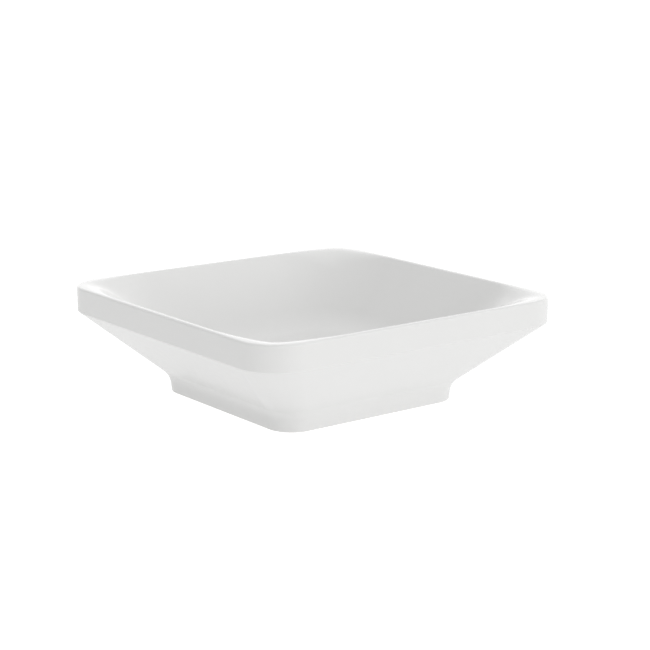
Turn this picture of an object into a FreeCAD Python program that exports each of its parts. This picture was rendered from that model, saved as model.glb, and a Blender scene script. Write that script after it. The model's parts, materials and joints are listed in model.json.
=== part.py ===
import FreeCAD, Part
import math
import os
import Sketcher

# A square countertop washbasin of glazed fireclay with its push-to-open waste.
# Frame: +Z up, origin at the centre of the foot's underside, -Y is the front.
# All sizes are millimetres.

SIZES = {
    # fireclay body, outside
    "width": 420.0,
    "height": 125.0,
    "rim_height": 30.0,
    "rim_corner": 48.0,
    "rim_round": 3.0,
    "rim_under_round": 2.5,
    "foot_side": 252.0,
    "foot_height": 20.0,
    "foot_lean": 2.4,
    "foot_corner": 31.5,
    "foot_cove": 26.0,
    # fireclay body, bowl
    "rim_lip": 7.0,
    "wall_run": 0.95,
    "mouth_corner": 110.0,
    "brow_depth": 6.0,
    "brow_corner": 135.0,
    "wall_corner": 85.0,
    "heel_radius": 70.0,
    "heel_corner": 60.0,
    "floor_corner": 45.0,
    # fireclay body, hollow underside
    "skin": 10.0,
    "rim_core": 9.0,
    "boss_margin": 12.0,
    "boss_depth": 13.0,
    # waste opening
    "recess_depth": 4.0,
    "recess_gap": 2.0,
    "hole_gap": 2.0,
    # waste body
    "tail_radius": 20.955,
    "tail_wall": 2.455,
    "tail_end": 3.0,
    "runout_height": 0.6,
    "runout_depth": 0.7,
    "flange_width": 11.045,
    "flange_edge": 1.8,
    "flange_height": 3.0,
    "flange_roll": 2.0,
    "seat_drop": 0.5,
    "seat_rise": 2.0,
    "seat_width": 3.0,
    "bridge_lift": 1.0,
    "bridge_height": 4.0,
    "bridge_bar": 3.2,
    "hub_wall": 3.5,
    # seals, washer and nut
    "gasket_gap": 0.3,
    "flange_gasket_height": 1.2,
    "flange_gasket_inset": 2.5,
    "boss_gasket_height": 3.5,
    "boss_gasket_width": 9.0,
    "boss_gasket_neck": 2.0,
    "slip_washer_height": 1.5,
    "slip_washer_inset": 1.0,
    "nut_height": 6.0,
    "nut_wall": 4.2,
    "thread_gap": 0.04,
    # plunger, its travel and its sleeve
    "plug_lift": 8.0,
    "end_gap": 0.1,
    "running_gap": 0.08,
    "press_gap": 0.02,
    "sleeve_radius": 8.0,
    "sleeve_land": 1.8,
    "waist_depth": 1.25,
    "sleeve_wall": 1.25,
    "sleeve_bore_end": 2.5,
    "stem_radius": 5.0,
    "notch_radius": 1.3,
    "notch_count": 8.0,
    # index ring
    "ring_height": 3.2,
    "ring_width": 2.0,
    "ring_gap": 0.3,
    "ring_play": 0.2,
    "peg_radius": 1.1,
    "peg_play": 0.3,
    # cartridge halves
    "cartridge_wall": 2.0,
    "cartridge_floor": 1.5,
    "cartridge_top": 2.9,
    "base_neck": 4.0,
    "base_neck_wall": 1.2,
    "spigot_radius": 4.5,
    "spring_post_gap": 0.9,
    "spring_post_height": 2.5,
    # stem seal
    "o_ring_wire": 0.75,
    "o_ring_gap": 0.05,
    # spring
    "spring_wire": 0.5,
    "spring_gap": 0.6,
    "spring_turns": 7.0,
    # plug
    "disc_clear": 3.5,
    "disc_gap": 1.7,
    "disc_height": 2.0,
    "disc_step": 2.3,
    "seal_overlap": 2.4,
    "seal_height": 2.0,
    "seal_gap": 0.2,
    "cap_overhang": 0.4,
    "cap_edge": 1.2,
    "cap_dome": 3.0,
    "stud_radius": 3.0,
    "stud_hold": 6.5,
    "stud_grip": 2.6,
}

doc = FreeCAD.newDocument("Washbasin")


def make_sheet():
    """Put every driving dimension in the sheet, one aliased cell each."""
    sheet = doc.addObject("Spreadsheet::Sheet", "Sizes")
    for row, (alias, value) in enumerate(SIZES.items(), start=1):
        sheet.set("A%d" % row, alias)
        sheet.set("B%d" % row, repr(value))
        sheet.setAlias("B%d" % row, alias)
    doc.recompute()
    return sheet


sheet = make_sheet()


def bind(text):
    """Turn plain size names in an expression into references to the sheet."""
    out = []
    word = ""
    for letter in text + " ":
        if letter.isalnum() or letter == "_":
            word += letter
            continue
        out.append("Sizes." + word if word in SIZES else word)
        out.append(letter)
        word = ""
    return "".join(out).strip()


def size(text):
    """Evaluate an expression of size names, in millimetres."""
    value = sheet.evalExpression(bind(text))
    return float(getattr(value, "Value", value))


# ---- radii that several pieces share, as expressions --------------------------------------

HALF = "(width / 2)"
TAIL_BORE = "(tail_radius - tail_wall)"
FLANGE_RADIUS = "(tail_radius + flange_width)"
BOSS_GASKET_RADIUS = "(tail_radius + boss_gasket_width)"
WAIST_RADIUS = "(sleeve_radius - waist_depth)"
SLEEVE_BORE = "(%s - sleeve_wall)" % WAIST_RADIUS
RING_RADIUS = "(sleeve_radius + ring_width)"
CARTRIDGE_RADIUS = "(%s + cartridge_wall)" % RING_RADIUS
SPRING_RADIUS = "(%s - spring_gap - spring_wire)" % SLEEVE_BORE
DISC_RADIUS = "(%s - disc_gap)" % TAIL_BORE
DISC_NECK = "(%s - disc_step)" % DISC_RADIUS
SEAL_RADIUS = "(%s + seal_overlap)" % TAIL_BORE
CAP_RADIUS = "(%s + cap_overhang)" % SEAL_RADIUS

# ---- levels, built up from the tail's end to the bowl's floor -------------------------------

BRIDGE_FOOT = "(tail_end + bridge_lift)"
CARTRIDGE_FOOT = "(%s + bridge_height)" % BRIDGE_FOOT
SPRING_SEAT = "(%s + cartridge_floor)" % CARTRIDGE_FOOT
SLEEVE_FOOT = "(%s + end_gap + plug_lift)" % SPRING_SEAT
WAIST_FOOT = "(%s + sleeve_land)" % SLEEVE_FOOT
PEG_LEVEL = "(%s + peg_play + peg_radius)" % WAIST_FOOT
RING_FOOT = "(%s - ring_height / 2)" % PEG_LEVEL
NECK_TOP = "(%s - ring_play)" % RING_FOOT
NECK_FOOT = "(%s - base_neck)" % NECK_TOP
WAIST_TOP = "(%s + plug_lift + 2 * peg_radius + 2 * peg_play)" % WAIST_FOOT
SLEEVE_TOP = "(%s + sleeve_land)" % WAIST_TOP
SPRING_TOP = "(%s - sleeve_bore_end)" % SLEEVE_TOP
CARTRIDGE_CEILING = "(%s + end_gap)" % SLEEVE_TOP
CARTRIDGE_CROWN = "(%s + cartridge_top)" % CARTRIDGE_CEILING
DISC_UNDER = "(%s + disc_clear + plug_lift)" % CARTRIDGE_CROWN
SEAL_UNDER = "(%s + disc_height)" % DISC_UNDER
CAP_UNDER = "(%s + seal_height)" % SEAL_UNDER
SEAT_TOUCH = "(%s - plug_lift - seal_gap)" % SEAL_UNDER
SEAT_FOOT = "(%s - seal_overlap * seat_rise / seat_width)" % SEAT_TOUCH
FLANGE_UNDER = "(%s + seat_drop)" % SEAT_FOOT
SEAT_LEVEL = "(%s - flange_gasket_height)" % FLANGE_UNDER
FLOOR = "(%s + recess_depth)" % SEAT_LEVEL
BOSS_UNDER = "(%s - boss_depth)" % SEAT_LEVEL
WASHER_TOP = "(%s - boss_gasket_height)" % BOSS_UNDER
NUT_TOP = "(%s - slip_washer_height)" % WASHER_TOP
NUT_FOOT = "(%s - nut_height)" % NUT_TOP


def wall_half(level):
    """Half width of the bowl at a level of its straight wall."""
    return "(%s - rim_lip - (height - %s) * wall_run)" % (HALF, level)


WALL_SECANT = "sqrt(1 + wall_run * wall_run)"
HEEL_RISE = "(heel_radius * (1 - wall_run / %s))" % WALL_SECANT
HEEL_TOP = "(%s + %s)" % (FLOOR, HEEL_RISE)
FLOOR_HALF = "(%s - heel_radius / %s)" % (wall_half(HEEL_TOP), WALL_SECANT)
SKIN_RUN = "(skin * %s)" % WALL_SECANT


def heel_half(rise):
    """Half width of the bowl at a height above its floor, on the round heel."""
    return "(%s + sqrt(heel_radius * heel_radius - (heel_radius - %s) * (heel_radius - %s)))" % (
        FLOOR_HALF, rise, rise)


# ---- small helpers ----------------------------------------------------------------------

def new_body(name):
    """Add an empty body whose label is the piece's name."""
    body = doc.addObject("PartDesign::Body", name)
    body.Label = name
    return body


def origin_plane(body, role):
    """Find one of the body's own origin planes."""
    for feature in body.Origin.OriginFeatures:
        if feature.Role == role:
            return feature
    raise ValueError(role)


def new_sketch(body, name, role="XY_Plane", level=None):
    """Add a sketch on an origin plane, lifted to a level along its normal."""
    sketch = body.newObject("Sketcher::SketchObject", name)
    sketch.AttachmentSupport = [(origin_plane(body, role), "")]
    sketch.MapMode = "FlatFace"
    if level is not None:
        sketch.setExpression("AttachmentOffset.Base.z", bind(level))
    return sketch


def drive(sketch, constraint, text):
    """Bind a dimension constraint to an expression of sizes."""
    number = sketch.addConstraint(constraint)
    sketch.setExpression("Constraints[%d]" % number, bind(text))


def rounded_square(body, name, level, half, corner):
    """Sketch a centred square with round corners at a level."""
    sketch = new_sketch(body, name, level=level)
    side = size(half)
    flat = side - size(corner)
    up = FreeCAD.Vector(0, 0, 1)
    ends = [(1, 1), (-1, 1), (-1, -1), (1, -1)]
    for quarter, (across, along) in enumerate(ends):
        centre = FreeCAD.Vector(across * flat, along * flat, 0)
        start = quarter * math.pi / 2
        circle = Part.Circle(centre, up, side - flat)
        sketch.addGeometry(Part.ArcOfCircle(circle, start, start + math.pi / 2))
    for quarter in range(4):
        after = (quarter + 1) % 4
        begin = sketch.getPoint(quarter, 2)
        end = sketch.getPoint(after, 1)
        sketch.addGeometry(Part.LineSegment(begin, end))
    for quarter in range(4):
        after = (quarter + 1) % 4
        line = 4 + quarter
        sketch.addConstraint(Sketcher.Constraint("Tangent", quarter, 2, line, 1))
        sketch.addConstraint(Sketcher.Constraint("Tangent", line, 2, after, 1))
        direction = "Horizontal" if quarter % 2 == 0 else "Vertical"
        sketch.addConstraint(Sketcher.Constraint(direction, line))
    for quarter in range(1, 4):
        sketch.addConstraint(Sketcher.Constraint("Equal", 0, quarter))
    sketch.addConstraint(Sketcher.Constraint("Symmetric", 0, 3, 2, 3, -1, 1))
    sketch.addConstraint(Sketcher.Constraint("Equal", 4, 5))
    drive(sketch, Sketcher.Constraint("Radius", 0, side - flat), corner)
    drive(sketch, Sketcher.Constraint("DistanceY", -1, 1, 0, 3, flat), "%s - %s" % (half, corner))
    return sketch


def circle_sketch(body, name, level, radius):
    """Sketch a circle about the vertical axis at a level."""
    sketch = new_sketch(body, name, level=level)
    up = FreeCAD.Vector(0, 0, 1)
    sketch.addGeometry(Part.Circle(FreeCAD.Vector(0, 0, 0), up, size(radius)))
    sketch.addConstraint(Sketcher.Constraint("Coincident", 0, 3, -1, 1))
    drive(sketch, Sketcher.Constraint("Radius", 0, size(radius)), radius)
    return sketch


def profile_sketch(body, name, outline):
    """Sketch a closed outline on the XZ plane from (radius, level[, arc radius]) stops.

    An arc radius says that the edge which leaves that stop is an arc which bulges
    outward from the outline, and not a straight line.
    """
    sketch = new_sketch(body, name, role="XZ_Plane")
    stops = [FreeCAD.Vector(size(stop[0]), size(stop[1]), 0) for stop in outline]
    for number, stop in enumerate(outline):
        begin = stops[number]
        end = stops[(number + 1) % len(stops)]
        if len(stop) == 2:
            sketch.addGeometry(Part.LineSegment(begin, end))
            continue
        radius = size(stop[2])
        middle = (begin + end) * 0.5
        across = (end - begin)
        reach = math.sqrt(radius ** 2 - (across.Length / 2) ** 2)
        inward = FreeCAD.Vector(-across.y, across.x, 0).normalize()
        centre = middle + inward * reach
        first = math.atan2(begin.y - centre.y, begin.x - centre.x)
        last = math.atan2(end.y - centre.y, end.x - centre.x)
        circle = Part.Circle(centre, FreeCAD.Vector(0, 0, 1), radius)
        sketch.addGeometry(Part.ArcOfCircle(circle, first, last))
    for number in range(len(outline)):
        after = (number + 1) % len(outline)
        sketch.addConstraint(Sketcher.Constraint("Coincident", number, 2, after, 1))
    for number, stop in enumerate(outline):
        if stop[0] == "0":
            sketch.addConstraint(Sketcher.Constraint("PointOnObject", number, 1, -2))
        else:
            along = Sketcher.Constraint("DistanceX", -1, 1, number, 1, stops[number].x)
            drive(sketch, along, stop[0])
        up = Sketcher.Constraint("DistanceY", -1, 1, number, 1, stops[number].y)
        drive(sketch, up, stop[1])
        if len(stop) == 3:
            drive(sketch, Sketcher.Constraint("Radius", number, size(stop[2])), stop[2])
    return sketch


def turned(name, outline):
    """Make a piece by turning an outline about the vertical axis."""
    body = new_body(name)
    sketch = profile_sketch(body, name + "_outline", outline)
    turn = body.newObject("PartDesign::Revolution", name + "_turn")
    turn.Profile = sketch
    turn.ReferenceAxis = (sketch, ["V_Axis"])
    turn.Angle = 360
    doc.recompute()
    return body


def loft(body, kind, name, sections, ruled=False):
    """Add or subtract a loft through sketches."""
    feature = body.newObject("PartDesign::" + kind, name)
    feature.Profile = sections[0]
    feature.Sections = sections[1:]
    feature.Ruled = ruled
    doc.recompute()
    return feature


def pad(body, name, sketch, length):
    """Pad a sketch upward."""
    feature = body.newObject("PartDesign::Pad", name)
    feature.Profile = sketch
    feature.setExpression("Length", bind(length))
    doc.recompute()
    return feature


def pocket(body, name, sketch, length):
    """Cut a sketch downward."""
    feature = body.newObject("PartDesign::Pocket", name)
    feature.Profile = sketch
    feature.setExpression("Length", bind(length))
    doc.recompute()
    return feature


def edges_at(feature, level, outside=0.0, tolerance=0.05):
    """Name a feature's edges that lie flat at a level, beyond a distance from the axis."""
    names = []
    for number, edge in enumerate(feature.Shape.Edges, start=1):
        box = edge.BoundBox
        flat = abs(box.ZMin - level) < tolerance and abs(box.ZMax - level) < tolerance
        middle = edge.valueAt((edge.FirstParameter + edge.LastParameter) / 2)
        if flat and math.hypot(middle.x, middle.y) > outside:
            names.append("Edge%d" % number)
    return names


def fillet(body, name, base, edges, radius):
    """Round some edges of the body's last feature."""
    feature = body.newObject("PartDesign::Fillet", name)
    feature.Base = (base, edges)
    feature.setExpression("Radius", bind(radius))
    doc.recompute()
    return feature


def ring(name, inner, outer, level, height):
    """Make a flat ring of two cylinders."""
    parts = []
    for suffix, radius in (("_disc", outer), ("_hole", inner)):
        cylinder = doc.addObject("Part::Cylinder", name + suffix)
        cylinder.setExpression("Radius", bind(radius))
        cylinder.setExpression("Height", bind(height))
        cylinder.setExpression("Placement.Base.z", bind(level))
        parts.append(cylinder)
    cut = doc.addObject("Part::Cut", name)
    cut.Base, cut.Tool = parts
    cut.Label = name
    doc.recompute()
    return cut


# ---- the fireclay body --------------------------------------------------------------------

def make_basin_bowl():
    """Square rim band, sloping underside, coved foot, hollow underneath, round-cornered bowl."""
    body = new_body("basin_bowl")
    foot_half = "(foot_side / 2)"
    ankle_half = "(foot_side / 2 + foot_lean)"
    ankle_corner = "(foot_corner + foot_lean / 2)"
    band_foot = "(height - rim_height)"

    foot = rounded_square(body, "foot_section", "0", foot_half, "foot_corner")
    ankle = rounded_square(body, "ankle_section", "foot_height", ankle_half, ankle_corner)
    loft(body, "AdditiveLoft", "foot_block", [foot, ankle])
    ankle_up = rounded_square(body, "slope_section", "foot_height", ankle_half, ankle_corner)
    band = rounded_square(body, "band_section", band_foot, HALF, "rim_corner")
    slope = loft(body, "AdditiveLoft", "slope_block", [ankle_up, band])
    cove = fillet(body, "foot_cove_round", slope, edges_at(slope, size("foot_height")), "foot_cove")
    band_up = rounded_square(body, "rim_section", band_foot, HALF, "rim_corner")
    rim = pad(body, "rim_band", band_up, "rim_height")
    under = fillet(body, "under_round", rim, edges_at(rim, size(band_foot)), "rim_under_round")
    lip = fillet(body, "lip_round", under, edges_at(under, size("height")), "rim_round")

    # The hollow follows the outside at one skin's thickness and stops under the rim.
    slope_run = "((%s - %s) / (%s - foot_height))" % (HALF, ankle_half, band_foot)
    inset = "(skin * sqrt(1 + %s * %s))" % (slope_run, slope_run)
    core_level = "(%s - rim_core)" % band_foot
    core_half = "(%s - rim_core * %s - %s)" % (HALF, slope_run, inset)
    hollow = [
        rounded_square(body, "hollow_mouth", "0", "(%s - skin)" % foot_half, "(foot_corner - skin)"),
        rounded_square(body, "hollow_ankle", "foot_height", "(%s - %s)" % (ankle_half, inset),
                       "(foot_corner - skin)"),
        rounded_square(body, "hollow_core", core_level, core_half, "(rim_corner - skin)"),
    ]
    loft(body, "SubtractiveLoft", "hollow_space", hollow, ruled=True)

    # The bowl's own skin stands inside the hollow.
    skin_floor = "(%s - skin)" % FLOOR
    skin_heel = "(%s + %s / 4)" % (FLOOR, HEEL_RISE)
    skin_wall = "(%s - rim_core / 2)" % HEEL_TOP
    skin_top = "(%s + rim_core / 2)" % band_foot
    shell = [
        rounded_square(body, "shell_floor", skin_floor, "(%s + skin / 2)" % FLOOR_HALF,
                       "(floor_corner + skin / 2)"),
        rounded_square(body, "shell_heel", "(%s - skin * 0.8)" % skin_heel,
                       "(%s + skin * 0.8)" % heel_half("(%s / 4)" % HEEL_RISE), "heel_corner"),
        rounded_square(body, "shell_wall", skin_wall, "(%s + %s)" % (wall_half(skin_wall), SKIN_RUN),
                       "(heel_corner + skin)"),
        rounded_square(body, "shell_top", skin_top, "(%s + %s)" % (wall_half(skin_top), SKIN_RUN),
                       "(wall_corner + skin)"),
    ]
    loft(body, "AdditiveLoft", "bowl_shell", shell)
    boss = circle_sketch(body, "boss_section", BOSS_UNDER, "(%s + boss_margin)" % BOSS_GASKET_RADIUS)
    pad(body, "waste_boss", boss, "boss_depth")

    # The bowl: straight walls at mid-side, deep round corners, a round heel and a flat floor.
    brow = "(height - brow_depth)"
    wall = "((height + %s) / 2)" % HEEL_TOP
    bowl = [
        rounded_square(body, "bowl_mouth", "height", wall_half("height"), "mouth_corner"),
        rounded_square(body, "bowl_brow", brow, wall_half(brow), "brow_corner"),
        rounded_square(body, "bowl_wall", wall, wall_half(wall), "wall_corner"),
        rounded_square(body, "bowl_heel_top", HEEL_TOP, wall_half(HEEL_TOP),
                       "(heel_corner + skin)"),
        rounded_square(body, "bowl_heel", "(%s + %s / 4)" % (FLOOR, HEEL_RISE),
                       heel_half("(%s / 4)" % HEEL_RISE), "heel_corner"),
        rounded_square(body, "bowl_floor", FLOOR, FLOOR_HALF, "floor_corner"),
    ]
    loft(body, "SubtractiveLoft", "bowl_space", bowl)
    recess = circle_sketch(body, "recess_section", FLOOR, "(%s + recess_gap)" % FLANGE_RADIUS)
    pocket(body, "waste_recess", recess, "recess_depth")
    hole = circle_sketch(body, "hole_section", SEAT_LEVEL, "(tail_radius + hole_gap)")
    pocket(body, "waste_hole", hole, "boss_depth")
    return body


# ---- the waste body and what clamps it ----------------------------------------------------

def make_waste_body():
    """Flanged tail with a coned seat and a cross bridge which carries the cartridge."""
    crown = "(%s + flange_height)" % FLANGE_UNDER
    body = turned("waste_body", [
        (TAIL_BORE, "tail_end"),
        ("tail_radius", "tail_end"),
        ("tail_radius", NUT_FOOT),
        ("(tail_radius - runout_depth)", NUT_FOOT),
        ("(tail_radius - runout_depth)", "(%s + runout_height)" % NUT_FOOT),
        ("tail_radius", "(%s + runout_height)" % NUT_FOOT),
        ("tail_radius", FLANGE_UNDER),
        (FLANGE_RADIUS, FLANGE_UNDER),
        (FLANGE_RADIUS, "(%s + flange_edge)" % FLANGE_UNDER),
        ("(%s - flange_roll)" % FLANGE_RADIUS, crown),
        ("(%s - 2 * flange_roll)" % FLANGE_RADIUS, crown),
        ("(%s + seat_width)" % TAIL_BORE, "(%s + seat_rise)" % SEAT_FOOT),
        (TAIL_BORE, SEAT_FOOT),
    ])
    bar = new_sketch(body, "bridge_bar_section", level=BRIDGE_FOOT)
    bar.AttachmentOffset.Rotation = FreeCAD.Rotation(FreeCAD.Vector(0, 0, 1), 45)
    reach = "(tail_radius - tail_wall / 2)"
    corners = [(-1, -1), (1, -1), (1, 1), (-1, 1)]
    points = [FreeCAD.Vector(x * size(reach), y * size("bridge_bar") / 2, 0) for x, y in corners]
    for number in range(4):
        bar.addGeometry(Part.LineSegment(points[number], points[(number + 1) % 4]))
    for number in range(4):
        bar.addConstraint(Sketcher.Constraint("Coincident", number, 2, (number + 1) % 4, 1))
        direction = "Horizontal" if number % 2 == 0 else "Vertical"
        bar.addConstraint(Sketcher.Constraint(direction, number))
    bar.addConstraint(Sketcher.Constraint("Symmetric", 0, 1, 1, 2, -1, 1))
    drive(bar, Sketcher.Constraint("DistanceX", -1, 1, 0, 2, size(reach)), reach)
    half_bar = Sketcher.Constraint("DistanceY", -1, 1, 1, 2, size("bridge_bar / 2"))
    drive(bar, half_bar, "bridge_bar / 2")
    bridge = pad(body, "bridge", bar, "bridge_height")
    cross = body.newObject("PartDesign::PolarPattern", "bridge_cross")
    cross.Originals = [bridge]
    cross.Axis = (bar, ["N_Axis"])
    cross.Angle = 180
    cross.Mode = "Spacing"
    cross.Offset = 90
    cross.Occurrences = 2
    body.Tip = cross
    doc.recompute()
    hub = circle_sketch(body, "hub_section", BRIDGE_FOOT, "(spigot_radius + hub_wall)")
    pad(body, "hub", hub, "bridge_height")
    hub_hole = circle_sketch(body, "hub_hole_section", CARTRIDGE_FOOT, "(spigot_radius + press_gap)")
    pocket(body, "hub_hole", hub_hole, "bridge_height")
    return body


def make_clamp_pieces():
    """The two gaskets, the slip washer and the nut which clamp the waste to the boss."""
    shank = "(tail_radius + gasket_gap)"
    flange_gasket_radius = "(%s - flange_gasket_inset)" % FLANGE_RADIUS
    ring("flange_gasket", shank, flange_gasket_radius, SEAT_LEVEL, "flange_gasket_height")
    neck = "(tail_radius + hole_gap - gasket_gap)"
    turned("boss_gasket", [
        (shank, WASHER_TOP),
        (BOSS_GASKET_RADIUS, WASHER_TOP),
        (BOSS_GASKET_RADIUS, BOSS_UNDER),
        (neck, BOSS_UNDER),
        (neck, "(%s + boss_gasket_neck)" % BOSS_UNDER),
        (shank, "(%s + boss_gasket_neck)" % BOSS_UNDER),
    ])
    washer_radius = "(%s - slip_washer_inset)" % BOSS_GASKET_RADIUS
    ring("slip_washer", shank, washer_radius, NUT_TOP, "slip_washer_height")
    make_waste_nut()


def make_waste_nut():
    """Hexagonal back nut on the tail."""
    body = new_body("waste_nut")
    sketch = new_sketch(body, "nut_section", level=NUT_FOOT)
    corner_radius = "((tail_radius + nut_wall) / cos(30))"
    across = size(corner_radius)
    points = []
    for number in range(6):
        turn = number * math.pi / 3
        points.append(FreeCAD.Vector(across * math.cos(turn), across * math.sin(turn), 0))
    for number in range(6):
        sketch.addGeometry(Part.LineSegment(points[number], points[(number + 1) % 6]))
    circle = Part.Circle(FreeCAD.Vector(0, 0, 0), FreeCAD.Vector(0, 0, 1), across)
    rim = sketch.addGeometry(circle, True)
    sketch.addConstraint(Sketcher.Constraint("Coincident", rim, 3, -1, 1))
    for number in range(6):
        sketch.addConstraint(Sketcher.Constraint("Coincident", number, 2, (number + 1) % 6, 1))
        sketch.addConstraint(Sketcher.Constraint("PointOnObject", number, 1, rim))
    for number in range(1, 6):
        sketch.addConstraint(Sketcher.Constraint("Equal", 0, number))
    sketch.addConstraint(Sketcher.Constraint("PointOnObject", 0, 1, -1))
    drive(sketch, Sketcher.Constraint("Radius", rim, across), corner_radius)
    pad(body, "nut_block", sketch, "nut_height")
    hole = circle_sketch(body, "nut_hole_section", NUT_TOP, "(tail_radius + thread_gap)")
    pocket(body, "nut_hole", hole, "nut_height")
    return body


# ---- the click cartridge --------------------------------------------------------------------

def make_cartridge_base():
    """Lower half of the cartridge: spigot, spring seat with its post, and snap neck."""
    bore = "(sleeve_radius + running_gap)"
    neck = "(%s + base_neck_wall - ring_gap)" % RING_RADIUS
    post = "(%s - spring_wire - spring_post_gap)" % SPRING_RADIUS
    return turned("cartridge_base", [
        ("0", BRIDGE_FOOT),
        ("spigot_radius", BRIDGE_FOOT),
        ("spigot_radius", CARTRIDGE_FOOT),
        (CARTRIDGE_RADIUS, CARTRIDGE_FOOT),
        (CARTRIDGE_RADIUS, NECK_FOOT),
        (neck, NECK_FOOT),
        (neck, NECK_TOP),
        (bore, NECK_TOP),
        (bore, SPRING_SEAT),
        (post, SPRING_SEAT),
        (post, "(%s + spring_post_height)" % SPRING_SEAT),
        ("0", "(%s + spring_post_height)" % SPRING_SEAT),
    ])


def make_cartridge_body():
    """Upper half of the cartridge: skirt, index ring pocket, sleeve bore and stem guide."""
    skirt = "(%s + base_neck_wall - ring_gap + press_gap)" % RING_RADIUS
    bore = "(sleeve_radius + running_gap)"
    guide = "(stem_radius + running_gap)"
    pocket_radius = "(%s + running_gap)" % RING_RADIUS
    pocket_top = "(%s + ring_height + end_gap)" % RING_FOOT
    groove_radius = "(stem_radius + 2 * o_ring_wire + 2 * o_ring_gap + running_gap)"
    groove_middle = "(%s - cartridge_top / 2)" % CARTRIDGE_CROWN
    groove_half = "(o_ring_wire + o_ring_gap)"
    return turned("cartridge_body", [
        (skirt, NECK_FOOT),
        (CARTRIDGE_RADIUS, NECK_FOOT),
        (CARTRIDGE_RADIUS, CARTRIDGE_CROWN),
        (guide, CARTRIDGE_CROWN),
        (guide, "(%s + %s)" % (groove_middle, groove_half)),
        (groove_radius, "(%s + %s)" % (groove_middle, groove_half)),
        (groove_radius, "(%s - %s)" % (groove_middle, groove_half)),
        (guide, "(%s - %s)" % (groove_middle, groove_half)),
        (guide, CARTRIDGE_CEILING),
        (bore, CARTRIDGE_CEILING),
        (bore, pocket_top),
        (pocket_radius, pocket_top),
        (pocket_radius, NECK_TOP),
        (skirt, NECK_TOP),
    ])


def make_stem_seal():
    """O-ring in the cartridge's crown, around the stem."""
    seal = doc.addObject("Part::Torus", "stem_o_ring")
    seal.Label = "stem_o_ring"
    seal.setExpression("Radius1", bind("stem_radius + running_gap + o_ring_gap + o_ring_wire"))
    seal.setExpression("Radius2", bind("o_ring_wire"))
    seal.setExpression("Placement.Base.z", bind("%s - cartridge_top / 2" % CARTRIDGE_CROWN))
    return seal


def radial_pins(name, radius, reach, level, count, first):
    """Fuse cylinders which lie on spokes about the vertical axis."""
    pins = []
    for number in range(count):
        pin = doc.addObject("Part::Cylinder", "%s_%d" % (name, number + 1))
        pin.setExpression("Radius", bind(radius))
        pin.setExpression("Height", bind(reach))
        spoke = FreeCAD.Rotation(FreeCAD.Vector(0, 0, 1), first + number * 360.0 / count)
        lay = FreeCAD.Rotation(FreeCAD.Vector(0, 1, 0), 90)
        pin.Placement = FreeCAD.Placement(FreeCAD.Vector(0, 0, 0), spoke.multiply(lay))
        pin.setExpression("Placement.Base.z", bind(level))
        pins.append(pin)
    spider = doc.addObject("Part::MultiFuse", name)
    spider.Shapes = pins
    doc.recompute()
    return spider


def make_plunger():
    """Stem and waisted sleeve; notches round both shoulders step the index ring."""
    waisted = turned("plunger_blank", [
        (SLEEVE_BORE, SLEEVE_FOOT),
        ("sleeve_radius", SLEEVE_FOOT),
        ("sleeve_radius", WAIST_FOOT),
        (WAIST_RADIUS, WAIST_FOOT),
        (WAIST_RADIUS, WAIST_TOP),
        ("sleeve_radius", WAIST_TOP),
        ("sleeve_radius", SLEEVE_TOP),
        ("stem_radius", SLEEVE_TOP),
        ("stem_radius", DISC_UNDER),
        ("stud_radius", DISC_UNDER),
        ("stud_radius", "(%s - stud_hold)" % DISC_UNDER),
        ("0", "(%s - stud_hold)" % DISC_UNDER),
        ("0", SPRING_TOP),
        (SLEEVE_BORE, SPRING_TOP),
    ])
    count = int(size("notch_count"))
    reach = "(sleeve_radius + running_gap)"
    step = 180.0 / count
    lower = radial_pins("lower_notches", "notch_radius", reach, WAIST_FOOT, count, 0.0)
    upper = radial_pins("upper_notches", "notch_radius", reach, WAIST_TOP, count, step)
    both = doc.addObject("Part::MultiFuse", "notch_pins")
    both.Shapes = [lower, upper]
    core = doc.addObject("Part::Cylinder", "notch_core")
    core.setExpression("Radius", bind(WAIST_RADIUS))
    core.setExpression("Height", bind("height"))
    notches = doc.addObject("Part::Cut", "notches")
    notches.Base = both
    notches.Tool = core
    plunger = doc.addObject("Part::Cut", "plunger")
    plunger.Base = waisted
    plunger.Tool = notches
    plunger.Label = "plunger"
    doc.recompute()
    return plunger


def make_index_ring():
    """Ring with two inward pegs which run in the plunger's waist."""
    inner = "(sleeve_radius + ring_gap)"
    hoop = ring("index_hoop", inner, RING_RADIUS, RING_FOOT, "ring_height")
    reach = "(sleeve_radius + ring_width / 2)"
    pegs = radial_pins("index_pegs", "peg_radius", reach, PEG_LEVEL, 2, 0.0)
    core = doc.addObject("Part::Cylinder", "peg_core")
    core.setExpression("Radius", bind("%s + ring_gap" % WAIST_RADIUS))
    core.setExpression("Height", bind("height"))
    tips = doc.addObject("Part::Cut", "peg_tips")
    tips.Base = pegs
    tips.Tool = core
    index = doc.addObject("Part::Fuse", "index_ring")
    index.Base = hoop
    index.Tool = tips
    index.Label = "index_ring"
    doc.recompute()
    return index


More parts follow.
